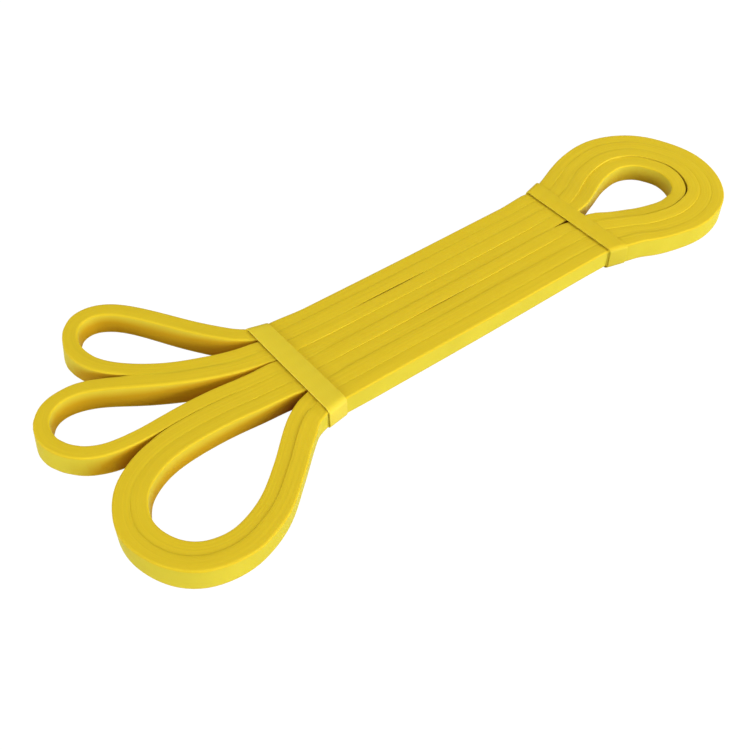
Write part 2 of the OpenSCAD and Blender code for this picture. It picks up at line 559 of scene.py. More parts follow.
    def rings(self) -> Rings:
        """Lays out the whole strip.

        Returns:
            Its rings, once round.
        """
        folds = []
        for turn in CIRCUIT:
            rows = self.fold_rows(turn.fold, turn.nest)
            folds.append(tuple(row[::-1] for row in rows) if turn.backward else rows)
        plans, leans, pitches, sinks, tilts, batters = [], [], [], [], [], []
        ends = (-self.bundle.half_run, self.bundle.half_run)
        for (plan, lean, pitch, sink, tilt, batter), (after, *_) in zip(folds, folds[1:] + folds[:1]):
            straight = self.run_rows(plan[-1], after[0])
            number = round((self.bundle.strands + 1) / 2 - plan[-1, 1] / self.bundle.pitch)
            inside = ease((self.bundle.half_run - np.abs(straight[:, 0])) / self.calm)
            straight[:, 1] -= self.bow * ease(1.0 - np.abs(straight[:, 0]) / self.bundle.half_run)
            straight[:, 1] -= inside * self.waist * np.maximum(straight[:, 1], 0.0)
            plans += [plan, straight]
            leans += [lean, inside * np.interp(straight[:, 0], ends, self.strand_lean[number - 1])]
            pitches += [pitch, np.full(len(straight), self.bundle.pitch)]
            sinks += [sink, inside * np.interp(straight[:, 0], ends, self.strand_sink[number - 1])]
            tilts += [tilt, inside * self.strand_tilt[number - 1]]
            batters += [batter, np.zeros(len(straight))]
        plan = np.concatenate(plans)
        steps = np.linalg.norm(np.roll(plan, -1, 0) - plan, axis=1)
        way = np.roll(plan, -1, 0) - np.roll(plan, 1, 0)
        way /= np.linalg.norm(way, axis=1, keepdims=True)
        return Rings(
            plan=plan,
            left=np.column_stack([-way[:, 1], way[:, 0]]),
            lean=np.concatenate(leans),
            pitch=np.concatenate(pitches),
            sink=np.concatenate(sinks),
            tilt=np.concatenate(tilts),
            batter=np.concatenate(batters),
            along=np.concatenate([[0.0], np.cumsum(steps)[:-1]]),
            length=float(steps.sum()),
        )

    def wave(self, rings: Rings, waves: range, draw: np.random.RandomState) -> np.ndarray:
        """A smooth closed wave along the strip, between about -1 and 1.

        Args:
            rings: The strip's rings.
            waves: How often the parts of the wave come round.
            draw: Source of the phases.

        Returns:
            The wave at each ring.
        """
        phase = draw.uniform(0.0, 2 * math.pi, len(waves))
        turn = 2 * math.pi * rings.along[:, None] / rings.length * np.array(waves)
        return np.sin(turn + phase).sum(1) / math.sqrt(2.0 * len(waves))

    @property
    def quarter(self) -> int:
        """Points in a quarter of the section: wall, rounding, flat and the middle of the top."""
        return self.round_steps + 4

    def section(self, corner: np.ndarray) -> np.ndarray:
        """The strip's section, round from its upper left edge, seen against its way.

        Args:
            corner: The rounding of an edge, from the side to the top, as distance from the
                section's middle and depth below the top.

        Returns:
            The points, across to the left and up from the lower edge.
        """
        wall = corner[:1] + np.array([[0.0, self.shoulder]])
        flat = corner[-1:] - np.array([[self.shoulder, 0.0]])
        edge = np.vstack([wall, corner, flat, [[0.0, -self.crown]]])
        rows = []
        for side, end in ((1, 1), (-1, 1), (-1, -1), (1, -1)):
            up = self.width / 2 + end * (self.width / 2 - edge[:, 1])
            quarter = np.column_stack([side * edge[:, 0], up])
            rows.append(quarter if side * end > 0 else quarter[::-1])
        return np.concatenate(rows)

    def sections(self) -> tuple[np.ndarray, np.ndarray, np.ndarray]:
        """Lays out the section with free and with pressed edges.

        Returns:
            The section with free edges, with edges pressed as on the far side, and as on the near.
        """
        half = self.bundle.pitch / 2
        share = np.linspace(0.0, 1.0, self.round_steps + 1)
        turn = share * math.pi / 2
        wide, high = self.free_round
        corners = [np.column_stack([half - wide * (1 - np.cos(turn)), high * (1 - np.sin(turn))])]
        for wide, high in (self.far_round, self.near_round):
            corners.append(np.column_stack([half - wide * share, high * (1 - share) ** 2]))
        free, far, near = (self.section(corner) for corner in corners)
        return free, far, near

    def marks(self) -> tuple[np.ndarray, np.ndarray]:
        """Says what lies where round the section.

        Returns:
            How much of a cut edge each place lies on, from 0 on the moulded sides to 1, and its
            distance round the section, with the way back to the start at the end.
        """
        quarter = np.array([0.0] + [1.0] * (self.quarter - 1))
        cut = np.concatenate([quarter, quarter[::-1], quarter, quarter[::-1]])
        free = self.sections()[0]
        steps = np.linalg.norm(np.roll(free, -1, 0) - free, axis=1)
        return cut, np.concatenate([[0.0], np.cumsum(steps)])

    def rims(self) -> np.ndarray:
        """Places in the section where the rounding of an edge meets the strip's side."""
        half = 2 * self.quarter
        return np.array([1, half - 2, half + 1, 2 * half - 2])

    def contacts(self, rings: Rings) -> tuple[np.ndarray, np.ndarray]:
        """How firmly each ring's left and right side lies against another strand.

        Args:
            rings: The strip's rings.

        Returns:
            The contact on the left and on the right, from 0 for a free side to 1.
        """
        apart = np.abs(rings.along[:, None] - rings.along[None, :])
        own = np.minimum(apart, rings.length - apart) < self.bend_reach
        row = np.arange(len(rings.along))
        firm = []
        for side in (0.5, -0.5):
            face = rings.plan + side * rings.pitch[:, None] * rings.left
            away = face[:, None, :] - rings.plan[None, :, :]
            distance = np.where(own, np.inf, np.linalg.norm(away, axis=2))
            other = distance.argmin(1)
            beside = np.abs((away[row, other] * rings.left[other]).sum(1))
            off = np.maximum(beside, distance[row, other] - self.run_step) - rings.pitch[other] / 2
            start, stop = self.touching
            firm.append(1.0 - ease((off - start) / (stop - start)))
        return firm[0], firm[1]

    def open_ways(self, rings: Rings, side: float) -> np.ndarray:
        """How far each ring sees past one of its sides, before another stretch stands in the way.

        Args:
            rings: The strip's rings.
            side: 1 for the left side and -1 for the right.

        Returns:
            The distances, by direction of view and ring, and infinite where nothing is in the way.
        """
        start, stretch = rings.plan, np.roll(rings.plan, -1, 0) - rings.plan
        apart = np.abs(rings.along[:, None] - rings.along[None, :])
        own = np.minimum(apart, rings.length - apart) < self.own_reach
        to_start = start[None, :, :] - (start + side * rings.pitch[:, None] / 2 * rings.left)[:, None, :]
        ways = []
        for angle in np.radians(self.glances):
            cos, sin = math.cos(angle), math.sin(angle)
            look = side * rings.left @ np.array([[cos, sin], [-sin, cos]])
            cross = look[:, None, 0] * stretch[None, :, 1] - look[:, None, 1] * stretch[None, :, 0]
            cross = np.where(np.abs(cross) < PARALLEL, PARALLEL, cross)
            way = (to_start[:, :, 0] * stretch[None, :, 1] - to_start[:, :, 1] * stretch[None, :, 0]) / cross
            met = (to_start[:, :, 0] * look[:, None, 1] - to_start[:, :, 1] * look[:, None, 0]) / cross
            hit = (way > 0) & (met >= 0) & (met <= 1) & ~own
            ways.append(np.where(hit, way - self.bundle.pitch / 2, np.inf).min(1))
        return np.maximum(ways, self.least_way)

    def painted_shade_depths(self, rings: Rings) -> np.ndarray:
        """How deep each place of the strip lies between its neighbours, which sets how much painted shade it
        gets.

        Args:
            rings: The strip's rings.

        Returns:
            The depth by ring and place in the section, from 0 in the open to 1 in a closed gap.
        """
        free = self.sections()[0]
        close, wide = self.lit_depth
        deep_painted_shade = []
        for side in (1.0, -1.0):
            ways = self.open_ways(rings, side)[:, :, None]
            lit = close + (wide - close) * ease(ways / self.lit_way)
            depth = np.maximum(self.width - free[:, 1] - lit, 0.0)
            deep_painted_shade.append(np.arctan2(depth, ways).mean(0) / (math.pi / 2))
        counts = np.where(rings.plan[:, :1] > 0, self.eye_depth, 1.0)
        return counts * np.where(free[:, 0] > 0, deep_painted_shade[0], deep_painted_shade[1])

    def trims(self, rings: Rings) -> tuple[np.ndarray, np.ndarray]:
        """How much is taken off each side of the strip where strands part.

        Args:
            rings: The strip's rings.

        Returns:
            The trim on the left and on the right of each ring.
        """
        x, y = rings.plan.T
        off_left, off_right = np.zeros(len(x)), np.zeros(len(x))
        for parting in self.partings:
            amount = parting.width / 2 * ease(1.0 - np.abs(x - parting.x) / parting.reach)
            for strand, side in ((parting.far_strand, -1.0), (parting.far_strand + 1, 1.0)):
                near = np.abs(y - self.bundle.strand_y(strand)) < self.bundle.pitch / 2
                facing = rings.left[:, 1] * side
                off_left += np.where(near & (facing > FACING), amount, 0.0)
                off_right += np.where(near & (facing < -FACING), amount, 0.0)
        return off_left, off_right

    def vertices(self, rings: Rings) -> np.ndarray:
        """Places the section on every ring.

        Args:
            rings: The strip's rings.

        Returns:
            Points by ring, place in the section and axis, in millimetres of the part's frame.
        """
        draw = np.random.RandomState(self.seed)
        free, far, near = self.sections()
        out = np.abs(rings.plan[:, 0]) - self.bundle.half_run
        foot = self.bundle.bed * (1.0 - ease((out - self.settle_from) / self.settle_over))
        facing = rings.left @ FAR_SIDE
        sink = rings.sink + self.uneven_sink * (1.0 + self.wave(rings, self.sink_waves, draw))
        (rise, risen), (fall, fallen) = self.swell_rise, self.swell_fall
        swollen = ease((out - rise) / (risen - rise)) * ease((fallen - out) / (fallen - fall))
        sink -= self.swell * swollen * (rings.plan[:, 0] > 0)
        for rim in self.dip_at:
            sink += self.dip * ease(1.0 - np.abs(rings.plan[:, 0] - rim) / self.dip_reach)
        tilt = rings.tilt * facing + self.uneven_tilt * self.wave(rings, self.tilt_waves, draw)
        off_left, off_right = self.trims(rings)

        full = self.bundle.pitch / 2
        half = rings.pitch / 2
        firm_left, firm_right = self.contacts(rings)
        on_left = free[:, 0] > 0
        firm = np.where(on_left, firm_left[:, None], firm_right[:, None])
        is_far = ease((1.0 + np.where(on_left, facing[:, None], -facing[:, None])) / 2)
        pressed = near + is_far[:, :, None] * (far - near)
        across, up = np.moveaxis(free + firm[:, :, None] * (pressed - free), 2, 0)
        squeeze = np.where(across > 0, (half - off_left)[:, None], (half - off_right)[:, None])
        across = across * squeeze / full
        top = np.clip(up / self.width, 0.0, None)
        slope = np.where(across < 0, (rings.batter / half)[:, None], 0.0)
        across = across * (1.0 - top * slope)
        up = up - top * sink[:, None] + top * across * np.tan(np.radians(tilt))[:, None]
        lean = np.radians(rings.lean * facing)[:, None]
        drop = self.pivot * self.width - up
        across = across - drop * np.sin(lean)
        up = up + (foot - up.min(1))[:, None]
        plan = self.bundle.to_part(rings.plan)[:, None, :]
        plan = plan + across[:, :, None] * rings.left[:, None, :]
        plan[:, :, 1] = np.clip(plan[:, :, 1], *self.tight_tie.sides(plan[:, :, 0]))
        return np.dstack([plan, up])

    def build(self) -> tuple[bpy.types.Object, np.ndarray, float]:
        """Makes the strip's mesh, a closed tube with the strip's own UV map.

        Returns:
            The piece, its centreline in metres of the part's frame, and its length in metres.
        """
        rings = self.rings()
        points = self.vertices(rings) * MM
        cut, around = self.marks()
        count, sides = points.shape[:2]
        ring, side = np.meshgrid(np.arange(count), np.arange(sides), indexing="ij")
        ring, side = ring.ravel(), side.ravel()
        next_ring, next_side = (ring + 1) % count, (side + 1) % sides
        faces = np.column_stack([
            ring * sides + side, ring * sides + next_side,
            next_ring * sides + next_side, next_ring * sides + side,
        ])
        mesh = bpy.data.meshes.new("latex_strip")
        mesh.from_pydata(points.reshape(-1, 3).tolist(), [], faces.tolist())
        along = np.append(rings.along, rings.length)
        u = np.column_stack([along[ring], along[ring], along[ring + 1], along[ring + 1]])
        v = np.column_stack([around[side], around[side + 1], around[side + 1], around[side]])
        uv = mesh.uv_layers.new(name="strip_mm")
        uv.data.foreach_set("uv", np.dstack([u, v]).ravel())
        # Besides the cut edges, the mesh carries painted shade: how deep each place lies between strands,
        # which the material darkens and warms.
        for name, values in (("cut_edge", np.tile(cut, count)), ("nook", self.painted_shade_depths(rings).ravel())):
            attribute = mesh.attributes.new(name, "FLOAT", "POINT")
            attribute.data.foreach_set("value", values)
        mesh.polygons.foreach_set("use_smooth", np.ones(len(faces), bool))
        mesh.update()
        ends = np.empty(2 * len(mesh.edges), int)
        mesh.edges.foreach_get("vertices", ends)
        first, second = ends.reshape(-1, 2).T % sides
        mesh.edges.foreach_set("use_edge_sharp", (first == second) & np.isin(first, self.rims()))
        piece = bpy.data.objects.new("latex_strip", mesh)
        bpy.context.scene.collection.objects.link(piece)
        centres = points.mean(1)
        return piece, np.vstack([centres, centres[:1]]), rings.length * MM

    def declare(self, piece: bpy.types.Object, path: np.ndarray) -> None:
        """Hangs the strip on the band's body and hides the node that it stands for.

        Args:
            piece: The strip.
            path: Its centreline in metres of the part's frame; not used.
        """
        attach(piece, "band")
        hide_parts("loop_band")


class Element(Enum):
    """What a selection in edit mode holds, by the name of its list in the mesh."""

    FACE = "polygons"
    EDGE = "edges"
    VERT = "vertices"


@dataclass(frozen=True)
class Rim:
    """How one rim of a tie sits off true.

    Attributes:
        turn: Degrees that it is turned to the left, seen from above.
        x: Millimetres that it lies off along the bundle.
        y: Millimetres that it lies off across the bundle.
        flare: Millimetres that it is wider on each side.
    """

    turn: float = 0.0
    x: float = 0.0
    y: float = 0.0
    flare: float = 0.0


@dataclass
class RubberTie:
    """A flat rubber ring round one end of the bundle, in millimetres.

    Attributes:
        bundle: Where the bundle lies.
        node: The node that the ring stands for, which is also its body.
        left_rim: How its left rim sits.
        right_rim: How its right rim sits.
        strip_top: Height of the strands' tops in the run.
        wall: Thickness of the ring.
        clear: Room between the ring and the strands.
        corner: Outside radius of the ring's corners.
        corner_steps: Steps in the rounding of a corner.
        mark_room: Room that the marks of the strands leave at the corners.
        press: How far the top is pressed in between strands.
        top_half: Height above which a point lies in the ring's upper half.
        edge_round: Rounding of the ring's cut edges.
        edge_steps: Steps in that rounding.
        edge_angle: Angle from which an edge gets it, in degrees.
        smooth_angle: Angle up to which faces are shaded as one, in degrees.
        ramp: How steeply the strands come out again beyond the rims.
        near: How near two places are that count as one.
    """

    bundle: Bundle
    node: str
    left_rim: Rim
    right_rim: Rim
    strip_top: float = 7.72
    wall: float = 0.55
    clear: float = 0.12
    corner: float = 2.0
    corner_steps: int = 6
    mark_room: float = 0.3
    press: float = 0.07
    top_half: float = 4.0
    edge_round: float = 0.2
    edge_steps: int = 3
    edge_angle: float = 50.0
    smooth_angle: float = 40.0
    ramp: float = 0.9
    near: float = 0.05

    @property
    def strands_half(self) -> float:
        """Half the width of the strands that the ring holds."""
        return self.bundle.strand_y(1) + self.bundle.pitch / 2

    @property
    def outer_half(self) -> float:
        """Half the ring's own width before its rims are set."""
        return self.strands_half + self.clear + self.wall

    def build(self) -> bpy.types.Object:
        """Models the ring from a box: open ends, round corners, strand marks, flare and wall.

        Returns:
            The piece.
        """
        low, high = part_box(self.node)
        top = (self.strip_top + self.clear + self.wall) * MM
        bpy.ops.object.select_all(action="DESELECT")
        bpy.ops.mesh.primitive_cube_add(
            size=1.0, location=((low.x + high.x) / 2, self.bundle.axis_y * MM, top / 2)
        )
        piece = bpy.context.object
        piece.name = piece.data.name = self.node.replace("tie", "rubber_tie")
        piece.scale = (high.x - low.x, 2 * self.outer_half * MM, top)
        bpy.ops.object.transform_apply(location=True, rotation=True, scale=True)
        bpy.ops.object.mode_set(mode="EDIT")
        self.open_ends(piece)
        self.round_corners(piece)
        self.mark_strands(piece)
        for rim, x in ((self.left_rim, low.x), (self.right_rim, high.x)):
            self.set_rim(piece, rim, x)
        bpy.ops.object.mode_set(mode="OBJECT")
        self.thicken(piece)
        return piece

    def sides(self, x: np.ndarray) -> tuple[np.ndarray, np.ndarray]:
        """Where the ring holds the bundle's near and far side.

        Args:
            x: Places along the bundle.

        Returns:
            The y of the ring's inner faces at each place, further apart beyond its rims.
        """
        low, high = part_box(self.node)
        start, stop = low.x / MM + self.left_rim.x, high.x / MM + self.right_rim.x
        beyond = np.maximum(np.maximum(start - x, x - stop), 0.0)
        faces = []
        for side in (-1.0, 1.0):
            at_rims = [
                rim.y + side * (self.outer_half * (1.0 + rim.flare / self.strands_half) - self.wall)
                for rim in (self.left_rim, self.right_rim)
            ]
            face = self.bundle.axis_y + np.interp(x, (start, stop), at_rims)
            faces.append(face + side * self.ramp * beyond)
        return faces[0], faces[1]

    @staticmethod
    def pick(piece: bpy.types.Object, kind: Element, test: Callable[[object], bool]) -> None:
        """Selects the faces, edges or vertices of the edited mesh that pass a test.

        Args:
            piece: The piece in edit mode.
            kind: What is selected.
            test: Called with each element; those it says yes to are selected.
        """
        bpy.ops.mesh.select_mode(type=kind.name)
        bpy.ops.mesh.select_all(action="DESELECT")
        bpy.ops.object.mode_set(mode="OBJECT")
        for item in getattr(piece.data, kind.value):
            item.select = bool(test(item))
        bpy.ops.object.mode_set(mode="EDIT")

    def open_ends(self, piece: bpy.types.Object) -> None:
        """Takes off the two faces across the bundle."""
        self.pick(piece, Element.FACE, lambda face: abs(face.normal.x) > ALONG)
        bpy.ops.mesh.delete(type="FACE")

    def round_corners(self, piece: bpy.types.Object) -> None:
        """Rounds the four edges along the bundle.

        Args:
            piece: The piece in edit mode.
        """
        def along_bundle(edge: bpy.types.MeshEdge) -> bool:
            """Whether an edge runs along the bundle."""
            a, b = (piece.data.vertices[v].co for v in edge.vertices)
            return abs(a.x - b.x) > ALONG * (a - b).length

        self.pick(piece, Element.EDGE, along_bundle)
        bpy.ops.mesh.bevel(offset=self.corner * MM, segments=self.corner_steps, affect="EDGES")

    def mark_strands(self, piece: bpy.types.Object) -> None:
        """Cuts the ring at every quarter of a strand, and presses it in a little between strands.

        Args:
            piece: The piece in edit mode.
        """
        axis, pitch = self.bundle.axis_y, self.bundle.pitch
        marks = np.arange(-2 * self.bundle.strands + 1, 2 * self.bundle.strands) / 4 * pitch
        marks = marks[np.abs(marks) < self.outer_half - self.corner - self.mark_room]
        for mark in marks:
            bpy.ops.mesh.select_all(action="SELECT")
            bpy.ops.mesh.bisect(plane_co=(0.0, (axis + mark) * MM, 0.0), plane_no=(0.0, 1.0, 0.0))
        between = [y for y in marks if (y / pitch) % 1.0 < self.near]

        def pressed(vertex: bpy.types.MeshVertex) -> bool:
            """Whether a point lies on the ring's top between two strands."""
            on_top = vertex.co.z > self.top_half * MM
            return on_top and any(abs(vertex.co.y / MM - axis - y) < self.near for y in between)

        self.pick(piece, Element.VERT, pressed)
        bpy.ops.transform.translate(value=(0.0, 0.0, -self.press * MM))

    def set_rim(self, piece: bpy.types.Object, rim: Rim, x: float) -> None:
        """Widens, turns and shifts one rim of the ring.

        Args:
            piece: The piece in edit mode.
            rim: How the rim sits.
            x: Where the rim lies, in metres.
        """
        self.pick(piece, Element.VERT, lambda vertex: abs(vertex.co.x - x) < self.near * MM)
        middle = (x, self.bundle.axis_y * MM, 0.0)
        wider = 1.0 + rim.flare / self.strands_half
        bpy.ops.transform.resize(value=(1.0, wider, 1.0), center_override=middle)
        bpy.ops.transform.rotate(value=-math.radians(rim.turn), orient_axis="Z", center_override=middle)
        bpy.ops.transform.translate(value=(rim.x * MM, rim.y * MM, 0.0))

    def thicken(self, piece: bpy.types.Object) -> None:
        """Gives the ring its wall and its soft cut edges.

        Args:
            piece: The piece in object mode.
        """
        wall = piece.modifiers.new("wall", "SOLIDIFY")
        wall.thickness = self.wall * MM
        wall.offset = -1.0
        wall.use_even_offset = True
        soft = piece.modifiers.new("soft_edges", "BEVEL")
        soft.width = self.edge_round * MM
        soft.segments = self.edge_steps
        soft.limit_method = "ANGLE"
        soft.angle_limit = math.radians(self.edge_angle)
        for modifier in (wall, soft):
            bpy.ops.object.modifier_apply(modifier=modifier.name)
        bpy.ops.object.shade_smooth_by_angle(angle=math.radians(self.smooth_angle))

    def declare(self, piece: bpy.types.Object) -> None:
        """Hangs the tie on its own body and hides the node that it stands for.

        Args:
            piece: The tie.
        """
        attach(piece, self.node)
        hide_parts(self.node)


class Nodes:
    """Short ways to add and join nodes of one tree."""

    def __init__(self, tree: bpy.types.NodeTree) -> None:
        """Starts on a tree."""
        self.tree = tree

    def add(self, kind: str, **settings: object) -> bpy.types.Node:
        """Adds a node.

        Args:
            kind: The node's type.
            settings: Properties of the node by name.

        Returns:
            The node.
        """
        node = self.tree.nodes.new(kind)
        for name, value in settings.items():
            setattr(node, name, value)
        return node

    def join(self, source: bpy.types.NodeSocket, target: bpy.types.NodeSocket) -> None:
        """Joins an output to an input."""
        self.tree.links.new(source, target)

    def noise(self, vector: bpy.types.NodeSocket, scale: float, detail: float) -> bpy.types.NodeSocket:
        """Adds a noise texture.

        Args:
            vector: Where the noise is read.
            scale: Its scale.
            detail: Its detail.

        Returns:
            Its value.
        """
        node = self.add("ShaderNodeTexNoise")
        node.inputs["Scale"].default_value = scale
        node.inputs["Detail"].default_value = detail
        self.join(vector, node.inputs["Vector"])
        return node.outputs["Fac"]

    def spread(
        self, value: bpy.types.NodeSocket, source: Span, target: Span = WHOLE
    ) -> bpy.types.NodeSocket:
        """Maps a value from one range to another, clamped.

        Args:
            value: The value.
            source: Its range.
            target: The range that it is mapped to.

        Returns:
            The mapped value.
        """
        node = self.add("ShaderNodeMapRange")
        for name, number in zip(("From Min", "From Max", "To Min", "To Max"), (*source, *target)):
            node.inputs[name].default_value = number
        self.join(value, node.inputs["Value"])
        return node.outputs["Result"]

    def math(
        self, operation: str, first: bpy.types.NodeSocket, second: bpy.types.NodeSocket | float
    ) -> bpy.types.NodeSocket:
        """Adds a sum.

        Args:
            operation: The kind of sum.
            first: Its first value.
            second: Its second value, or a number.

        Returns:
            Its result.
        """
        node = self.add("ShaderNodeMath", operation=operation)
        self.join(first, node.inputs[0])
        if isinstance(second, float):
            node.inputs[1].default_value = second
        else:
            self.join(second, node.inputs[1])
        return node.outputs[0]

    def mix(
        self, factor: bpy.types.NodeSocket, first: Colour | bpy.types.NodeSocket,
        second: Colour | bpy.types.NodeSocket,
    ) -> bpy.types.NodeSocket:
        """Mixes two colours, each a socket or plain.

        Args:
            factor: Share of the second colour.
            first: The first colour.
            second: The second colour.

        Returns:
            The mixed colour.
        """
        node = self.add("ShaderNodeMix", data_type="RGBA")
        self.join(factor, node.inputs["Factor"])
        for name, colour in (("A", first), ("B", second)):
            socket = next(s for s in node.inputs if s.name == name and s.type == "RGBA")
            if isinstance(colour, tuple):
                socket.default_value = (*colour, 1.0)
            else:
                self.join(colour, socket)
        return next(s for s in node.outputs if s.type == "RGBA")


@dataclass(frozen=True)
class LatexSurface:
    """The group that every latex piece shares: clouding, powdery grain and drawn streaks.

    Attributes:
        clouds: Scale and detail of the clouding.
        grain: Scale and detail of the grain.
        streaks: Scale and detail of the streaks.
        stretch: How densely the streaks lie along the strip, across it and in depth.
        middle: Values of a noise between which clouding and streaks set in.
        grain_middle: Values of the grain between which the roughness changes.
        roughness: Least and greatest roughness.
        grain_height: Height of the grain as a share of that of the streaks.
    """

    clouds: Span = (70.0, 3.0)
    grain: Span = (2300.0, 2.0)
    streaks: Span = (1.0, 3.0)
    stretch: tuple[float, float, float] = (0.03, 1.6, 1.0)
    middle: Span = (0.3, 0.7)
    grain_middle: Span = (0.25, 0.75)
    roughness: Span = (0.5, 0.64)
    grain_height: float = 0.5

    def build(self) -> bpy.types.NodeTree:
        """Makes the group.

        Returns:
            The group, with Position in metres and Along in millimetres of the strip.
        """
        group = bpy.data.node_groups.new("latex_surface", "ShaderNodeTree")
        for name in ("Position", "Along"):
            group.interface.new_socket(name, in_out="INPUT", socket_type="NodeSocketVector")
        for name in ("Clouding", "Streaks", "Roughness", "Height"):
            group.interface.new_socket(name, in_out="OUTPUT", socket_type="NodeSocketFloat")
        nodes = Nodes(group)
        given, made = nodes.add("NodeGroupInput"), nodes.add("NodeGroupOutput")
        cloud = nodes.noise(given.outputs["Position"], *self.clouds)
        grain = nodes.noise(given.outputs["Position"], *self.grain)
        stretch = nodes.add("ShaderNodeMapping")
        stretch.inputs["Scale"].default_value = self.stretch
        nodes.join(given.outputs["Along"], stretch.inputs["Vector"])
        streak = nodes.noise(stretch.outputs["Vector"], *self.streaks)
        nodes.join(nodes.spread(cloud, self.middle), made.inputs["Clouding"])
        nodes.join(nodes.spread(streak, self.middle), made.inputs["Streaks"])
        nodes.join(nodes.spread(grain, self.grain_middle, self.roughness), made.inputs["Roughness"])
        relief = nodes.math("ADD", nodes.math("MULTIPLY", grain, self.grain_height), streak)
        nodes.join(relief, made.inputs["Height"])
        return group


@dataclass(frozen=True)
class Latex(ABC):
    """Satin latex, moulded smooth.

    Attributes:
        name: The material's name.
        skin_and_sheen: Colour of the sides, paler and bluer than the top partly as their own tone and partly
            as painted sheen.
        cut: Colour of the top and of cut edges.
        shade: How dark the clouding goes, as a share of the colour.
        relief: Depth of grain and streaks, in metres.
        bump: Strength of that relief.
        specular: Strength of the plain reflection.
        through: Share of the light that goes through the latex.
        through_way: How far its three colours go, as shares of through_reach.
        through_reach: How far light goes through the latex, in metres.
    """

    name: str
    skin_and_sheen: Colour
    cut: Colour
    shade: float
    relief: float
    bump: float = 0.35
    specular: float = 0.07
    through: float = 0.2
    through_way: Colour = (1.0, 0.7, 0.1)
    through_reach: float = 0.001

    def build(self, surface: bpy.types.NodeTree) -> bpy.types.Material:
        """Makes the material.

        Args:
            surface: The shared latex group.

        Returns:
            The material.
        """
        material = bpy.data.materials.new(self.name)
        material.use_nodes = True
        nodes = Nodes(material.node_tree)
        shader = material.node_tree.nodes["Principled BSDF"]
        place = nodes.add("ShaderNodeTexCoord")
        group = nodes.add("ShaderNodeGroup", node_tree=surface)
        nodes.join(place.outputs["Object"], group.inputs["Position"])
        nodes.join(self.along(nodes, place), group.inputs["Along"])
        nodes.join(self.colour(nodes, place, group), shader.inputs["Base Color"])
        nodes.join(group.outputs["Roughness"], shader.inputs["Roughness"])
        bump = nodes.add("ShaderNodeBump")
        bump.inputs["Strength"].default_value = self.bump
        bump.inputs["Distance"].default_value = self.relief
        nodes.join(group.outputs["Height"], bump.inputs["Height"])
        nodes.join(bump.outputs["Normal"], shader.inputs["Normal"])
        shader.inputs["Specular IOR Level"].default_value = self.specular
        shader.inputs["Subsurface Weight"].default_value = self.through
        shader.inputs["Subsurface Radius"].default_value = self.through_way
        shader.inputs["Subsurface Scale"].default_value = self.through_reach
        return material

    def darker(self, colour: Colour) -> Colour:
        """A colour where the clouding is deepest."""
        return tuple(part * (1.0 - self.shade) for part in colour)

    def clouded_skin_and_sheen(self, nodes: Nodes, group: bpy.types.Node) -> bpy.types.NodeSocket:
        """Colour of the sides with their clouding, paler partly as painted sheen."""
        return nodes.mix(group.outputs["Clouding"], self.darker(self.skin_and_sheen), self.skin_and_sheen)

    @abstractmethod
    def along(self, nodes: Nodes, place: bpy.types.Node) -> bpy.types.NodeSocket:
        """Finds the coordinates, in millimetres, whose first axis the streaks follow.

        Args:
            nodes: The material's nodes.
            place: The texture coordinates among them.

        Returns:
            The coordinates' socket.
        """

    @abstractmethod
    def colour(
        self, nodes: Nodes, place: bpy.types.Node, group: bpy.types.Node
    ) -> bpy.types.NodeSocket:
        """Lays out the colours of the surface.

        Args:
            nodes: The material's nodes.
            place: The texture coordinates among them.
            group: The latex group among them.

        Returns:
            The colour's socket.
        """


@dataclass(frozen=True)
class BandLatex(Latex):
    """Latex of the strip, whose mesh says where its cut edges are and how deep the painted shade between
    strands goes.

    Attributes:
        nook: Colour of the painted shade between the strands and low on walls that face a neighbour, darker
            and warmer than the sides.
        painted_shade_depth: Depths between which that painted shade sets in.
        deep_painted_shade: Darker painted shade in the deepest of these places.
        deep_painted_shade_depth: Depths between which that one sets in.
    """

    nook: Colour = (0.6, 0.357, 0.011)
    painted_shade_depth: Span = (0.0, 0.1)
    deep_painted_shade: Colour = (0.36, 0.125, 0.003)
    deep_painted_shade_depth: Span = (0.15, 0.45)

    def along(self, nodes: Nodes, place: bpy.types.Node) -> bpy.types.NodeSocket:
        """Takes the strip's own UV map."""
        return place.outputs["UV"]

    def colour(
        self, nodes: Nodes, place: bpy.types.Node, group: bpy.types.Node
    ) -> bpy.types.NodeSocket:
        """Lays out the clouded sides, the painted shade between the strands and the streaked cut edges.

        Args:
            nodes: The material's nodes.
            place: The texture coordinates among them.
            group: The latex group among them.

        Returns:
            The colour's socket.
        """
        skin_and_sheen = self.clouded_skin_and_sheen(nodes, group)
        # Painted shade: the sides go darker and warmer where the mesh says they lie deep between strands.
        nook = nodes.add("ShaderNodeAttribute", attribute_name="nook").outputs["Fac"]
        skin_and_sheen = nodes.mix(nodes.spread(nook, self.painted_shade_depth), skin_and_sheen, self.nook)
        skin_and_sheen = nodes.mix(nodes.spread(nook, self.deep_painted_shade_depth), skin_and_sheen, self.deep_painted_shade)
        cut = nodes.mix(group.outputs["Streaks"], self.darker(self.cut), self.cut)
        edge = nodes.add("ShaderNodeAttribute", attribute_name="cut_edge")
        return nodes.mix(edge.outputs["Fac"], skin_and_sheen, cut)


